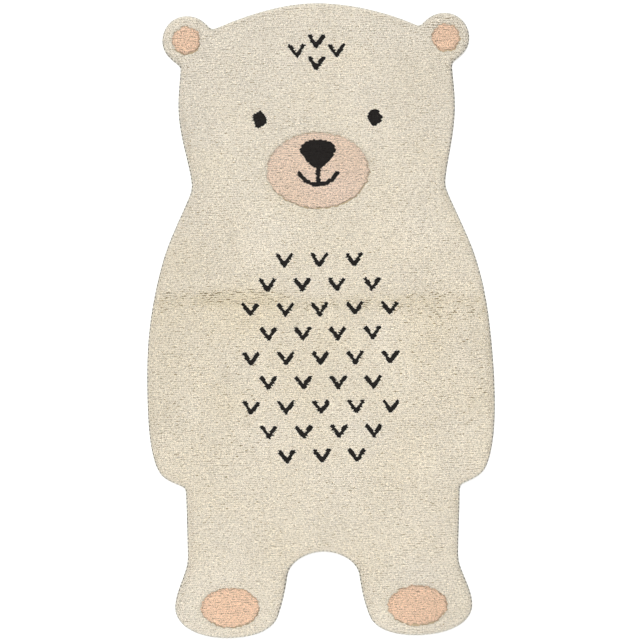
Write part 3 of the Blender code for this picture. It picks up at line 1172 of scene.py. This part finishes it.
# %% Canvas material
CANVAS_ROUGHNESS = 0.95
CANVAS_GLOSS = 0.15
THREAD_PITCH = 0.0011
WAVE_LENGTH = pi / 10.0            # of Blender's wave texture at a scale of 1
THREAD_WOBBLE = 0.4
CANVAS_BUMP = (0.6, 0.0003)        # strength and height
CANVAS_LIGHT = (0.66, 0.58, 0.45, 1.0)
# the dips of the weave: painted shade
CANVAS_DARK = (0.48, 0.41, 0.30, 1.0)
# the tufts' roots, darkened with painted shade
SHADED_PACK_COLOUR = (0.42, 0.34, 0.22, 1.0)


def canvas_material():
    material, tree, shader = new_material("ground_canvas", CANVAS_ROUGHNESS, CANVAS_GLOSS)
    place = add_node(tree, "TexCoord").outputs["Object"]
    wave = {"Vector": place, "Scale": WAVE_LENGTH / THREAD_PITCH, "Distortion": THREAD_WOBBLE, "Detail": 1.0}
    warp, weft = [add_node(tree, "TexWave", wave, bands_direction=way).outputs["Fac"] for way in "XY"]
    weave = add_node(tree, "Math", {0: warp, 1: weft}, operation="MAXIMUM").outputs["Value"]
    canvas = add_node(tree, "Mix", {"Factor": weave, "A": CANVAS_DARK, "B": CANVAS_LIGHT}, data_type="RGBA")
    height = add_node(tree, "SeparateXYZ", {"Vector": place}).outputs["Z"]
    above = add_node(tree, "Math", {0: height, 1: GROUND_RIM[0][2]}, operation="GREATER_THAN")
    packed = add_node(tree, "Mix", {
        "Factor": above.outputs["Value"], "A": canvas.outputs["Result"], "B": SHADED_PACK_COLOUR},
        data_type="RGBA")
    tree.links.new(packed.outputs["Result"], shader.inputs["Base Color"])
    strength, depth = CANVAS_BUMP
    bump = add_node(tree, "Bump", {"Strength": strength, "Distance": depth, "Height": weave})
    tree.links.new(bump.outputs["Normal"], shader.inputs["Normal"])
    return material


ground.data.materials.append(canvas_material())
print(f"canvas with a thread every {MM * THREAD_PITCH:.1f} mm")

# %% [markdown]
# Between the parted tufts one looks down to the cloth, which lies in deep shade. A thin dark bed laid along
# each line, just over the imported ground, is that shade painted in: a painted shadow that makes it
# dependable. It starts as a round disc, which is stretched to the parting's length and bent along its line, so
# it tapers to nothing at both ends.

# %% Beds of the partings
BED_SIDES = 12
BED_THICKNESS = 0.0004
BED_HALF_WIDTH = 0.0013
BED_FROM_WIDTH = 0.62              # narrower partings show no ground
BED_SINK = 0.0026                  # below the solid's top
# painted shadow at the bottom of a parting
BED_SHADOW_COLOUR = (0.25, 0.19, 0.095, 1.0)


def model_bed():
    """A disc of unit radius and thickness with its top at zero."""
    shape = bmesh.new()
    bmesh.ops.create_cone(shape, cap_ends=True, segments=BED_SIDES, radius1=1.0, radius2=1.0, depth=1.0)
    bmesh.ops.translate(shape, verts=shape.verts, vec=(0, 0, -0.5))
    return point_and_face_arrays(shape)


def lay_beds():
    disc, faces = model_bed()
    kept = []
    for parting in (each for each in partings if each.width > BED_FROM_WIDTH):
        x = parting.middle + disc[:, 0] * parting.half
        y = parting_line(parting, x) + disc[:, 1] * BED_HALF_WIDTH * parting.width
        spots = np.column_stack([x, y])
        inside, _ = depth_inside(spots, whip_line)
        if inside.min() > TOP_INSIDE:
            height = pile_top(spots) - BED_SINK + disc[:, 2] * BED_THICKNESS
            kept.append(np.column_stack([spots, height]))
    mesh = joined_mesh("parting_shadow_beds", np.array(kept), faces)
    shaded, _, shader = new_material("shaded_cloth", 1.0, 0.0)
    shader.inputs["Base Color"].default_value = BED_SHADOW_COLOUR
    mesh.materials.append(shaded)
    return add_object("parting_shadow_beds", mesh)


beds = lay_beds()
print(f"beds: {len(beds.data.polygons)} triangles")

# %% [markdown]
# ## The whipped edge
#
# The cut edge is rolled and sewn over with yarn. A rope pattern painted on a tube would leave its outline
# smooth, so core and yarn are both built. The core is a round cord, a curve with a bevel, made a mesh. Over
# it go the stitches: each pass of the yarn is a ring round the core, laid at a slant, and the passes come in
# threes with a gap between, where the core shows as a row of dots, painted darker as shadow.

# %% Core of the edge
CORE_RADIUS = 0.0016
CORE_PITCH = 0.008
CORE_BEVEL_STEPS = 2


def core_cord():
    line, _ = even_ring(whip_line, CORE_PITCH)
    data = bpy.data.curves.new("edge_core", "CURVE")
    data.dimensions = "3D"
    data.bevel_depth = CORE_RADIUS
    data.bevel_resolution = CORE_BEVEL_STEPS
    spline = data.splines.new("POLY")
    spline.points.add(len(line) - 1)
    for point, (x, y) in zip(spline.points, line):
        point.co = (x, y, whip_height, 1.0)
    spline.use_cyclic_u = True
    guide = add_object("edge_core_guide", data)
    bpy.context.view_layer.update()
    mesh = bpy.data.meshes.new_from_object(guide.evaluated_get(bpy.context.evaluated_depsgraph_get()))
    bpy.data.objects.remove(guide)
    mesh.name = "edge_core"
    mesh.materials.clear()
    mesh.shade_smooth()
    return add_object("edge_core", mesh)


core = core_cord()
print(f"core: {len(core.data.polygons)} faces")

# %% [markdown]
# Each pass of the yarn looks like a small tight ring. A curve with a bevel could make it, but a circle, the
# yarn's section, spun once round the core's axis is closed by itself and has only a few dozen faces, which
# matters for well over a thousand of them.

# %% Model one stitch
STITCH_HALF_WIDTH = 0.00092
STITCH_HALF_THICKNESS = 0.00062
STITCH_SEAT = 0.6                  # how far its middle stands off the core, in half thicknesses
STITCH_SIDES = 4
STITCH_STEPS = 8


def model_stitch():
    """A ring round the X axis."""
    shape = bmesh.new()
    ring = CORE_RADIUS + STITCH_SEAT * STITCH_HALF_THICKNESS
    circle = bmesh.ops.create_circle(shape, segments=STITCH_SIDES, radius=1.0)["verts"]
    bmesh.ops.scale(shape, verts=circle, vec=(STITCH_HALF_WIDTH, STITCH_HALF_THICKNESS, 1.0))
    bmesh.ops.translate(shape, verts=circle, vec=(0, ring, 0))
    bmesh.ops.spin(
        shape, geom=shape.verts[:] + shape.edges[:], cent=(0, 0, 0), axis=(1, 0, 0), dvec=(0, 0, 0),
        angle=tau, steps=STITCH_STEPS, use_merge=True, use_duplicate=False)
    bmesh.ops.remove_doubles(shape, verts=shape.verts, dist=SAME_POINT)
    return point_and_face_arrays(shape)


stitch_points, stitch_faces = model_stitch()
print(f"one stitch: {len(stitch_points)} points, {len(stitch_faces)} faces")

# %% [markdown]
# The copies are placed with arrays, like the tufts, in the frame of the edge: along it, outward, and up. On
# the map each stitch is unrolled in a cell of its own, and the cells stand side by side like stamps.

# %% Place the stitches
STITCH_GROUP_PITCH = 0.0086
STITCH_SHARES = (0.0, 0.18, 0.36)  # where the passes of a group lie in its pitch
MAP_COLUMNS = 36
MAP_CELL_FILL = 0.86


def stitch_places():
    """Middle and outward direction of each pass of the yarn."""
    groups, _ = even_ring(whip_line, STITCH_GROUP_PITCH)
    after = np.roll(groups, -1, axis=0)
    spots = [groups + (after - groups) * share for share in STITCH_SHARES]
    middles = np.stack(spots, axis=1).reshape(-1, 2)
    outward = np.repeat(outward_of(groups), len(STITCH_SHARES), axis=0)
    return middles, outward


def add_stitch_map(mesh, count):
    """Each stitch is unrolled in a cell of its own: round the core across, and round the yarn up."""
    turn = np.arctan2(stitch_points[:, 2], stitch_points[:, 1]) / tau
    reach = np.hypot(stitch_points[:, 1], stitch_points[:, 2])
    roll = np.arctan2(stitch_points[:, 0], reach - reach.mean()) / tau
    corner = np.stack([turn[stitch_faces], roll[stitch_faces]], axis=2)
    for axis in (0, 1):
        value = corner[..., axis]
        wraps = value.max(axis=1) - value.min(axis=1) > 0.5
        value[wraps] = np.where(value[wraps] < 0, value[wraps] + 1.0, value[wraps])
    low = corner.reshape(-1, 2).min(axis=0)
    corner = (corner - low) / (corner.reshape(-1, 2).max(axis=0) - low)
    cell = np.column_stack([np.arange(count) % MAP_COLUMNS, np.arange(count) // MAP_COLUMNS])
    placed = (cell[:, None, None, :] + corner * MAP_CELL_FILL) / max(MAP_COLUMNS, cell.max() + 1)
    layer = mesh.uv_layers.new(name=MAP_NAME)
    layer.uv.foreach_set("vector", placed.reshape(-1).astype(np.float32))


stitch_middles, stitch_outward = stitch_places()
print(f"{len(stitch_middles)} stitches")

# %% [markdown]
# No two passes are pulled equally tight, so each one is shifted, swollen and given a little tone of its own.
# Along the long sides the passes, and most of all the core, are painted darker. The core's colour is darker
# than the whipping's all round as well, so that its dots between the groups of passes read as painted shadow.

# %% Sew the edge
STITCH_SLANT = 0.35                # how far the outer side runs ahead, as a share of its distance
STITCH_WANDER = 0.00016
STITCH_SWELL = 0.035
STITCH_SHADE = 0.07
# the passes are painted darker along the long sides
STITCH_SIDE_SHADE = 0.15
# painted shadow: the core darker along the long sides
CORE_SIDE_SHADE = 0.85
LEAST_HEIGHT = 0.0001              # no stitch reaches into the floor
WHIPPING_LOOK = ((0.80, 0.77, 0.68), (0.55, 0.52, 0.44), 0.10)   # lit, deep and sheen
# darker than the whipping: painted shadow between the groups of passes
SHADED_CORE_LOOK = ((0.50, 0.46, 0.37), (0.50, 0.46, 0.37), 0.05)


def sew_edge(middles, outward):
    along = np.column_stack([-outward[:, 1], outward[:, 0]])
    shift = dice.normal(0.0, STITCH_WANDER, (len(middles), 1))
    swell = 1.0 + dice.normal(0.0, STITCH_SWELL, (len(middles), 1))
    run = stitch_points[:, 0] + STITCH_SLANT * stitch_points[:, 1] + shift
    flat = middles[:, None, :] + along[:, None, :] * run[..., None]
    flat = flat + outward[:, None, :] * (stitch_points[:, 1] * swell)[..., None]
    height = np.maximum(whip_height + stitch_points[:, 2] * swell, LEAST_HEIGHT)
    points = np.concatenate([flat, height[..., None]], axis=2)
    mesh = joined_mesh("edge_stitches", points, stitch_faces)
    stitch_tone_and_shade = 1.0 - STITCH_SIDE_SHADE * outward[:, 0] ** 2 + dice.normal(0.0, STITCH_SHADE, len(middles))
    add_point_values(mesh, "shade", np.repeat(stitch_tone_and_shade, len(stitch_points)))
    add_point_values(mesh, "stand", np.ones(points.shape[:2]))
    add_stitch_map(mesh, len(middles))
    mesh.materials.append(yarn_material("whipping_cotton", *WHIPPING_LOOK))
    return add_object("edge_stitches", mesh)


def finish_core(mesh):
    _, way_out = depth_inside(np.array([vertex.co[:2] for vertex in mesh.vertices]), foot_ring)
    # painted shadow, darkest along the long sides
    add_point_values(mesh, "shade", 1.0 - CORE_SIDE_SHADE * way_out[:, 0] ** 2)
    add_point_values(mesh, "stand", np.ones(len(mesh.vertices)))
    mesh.materials.append(yarn_material("core_cotton", *SHADED_CORE_LOOK))


stitches = sew_edge(stitch_middles, stitch_outward)
finish_core(core.data)
print(f"stitches: {len(stitches.data.polygons)} triangles")

# %% [markdown]
# ## Fit the pieces to the frame
#
# The rug has no joints, so every piece rides on its one body. The two plain solids are replaced.

# %% Ride and replace
BODY = "root"
for piece in (*pile, beds, ground, core, stitches):
    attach(piece, BODY)
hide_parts("tufted_body")
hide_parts("edge_whipping")
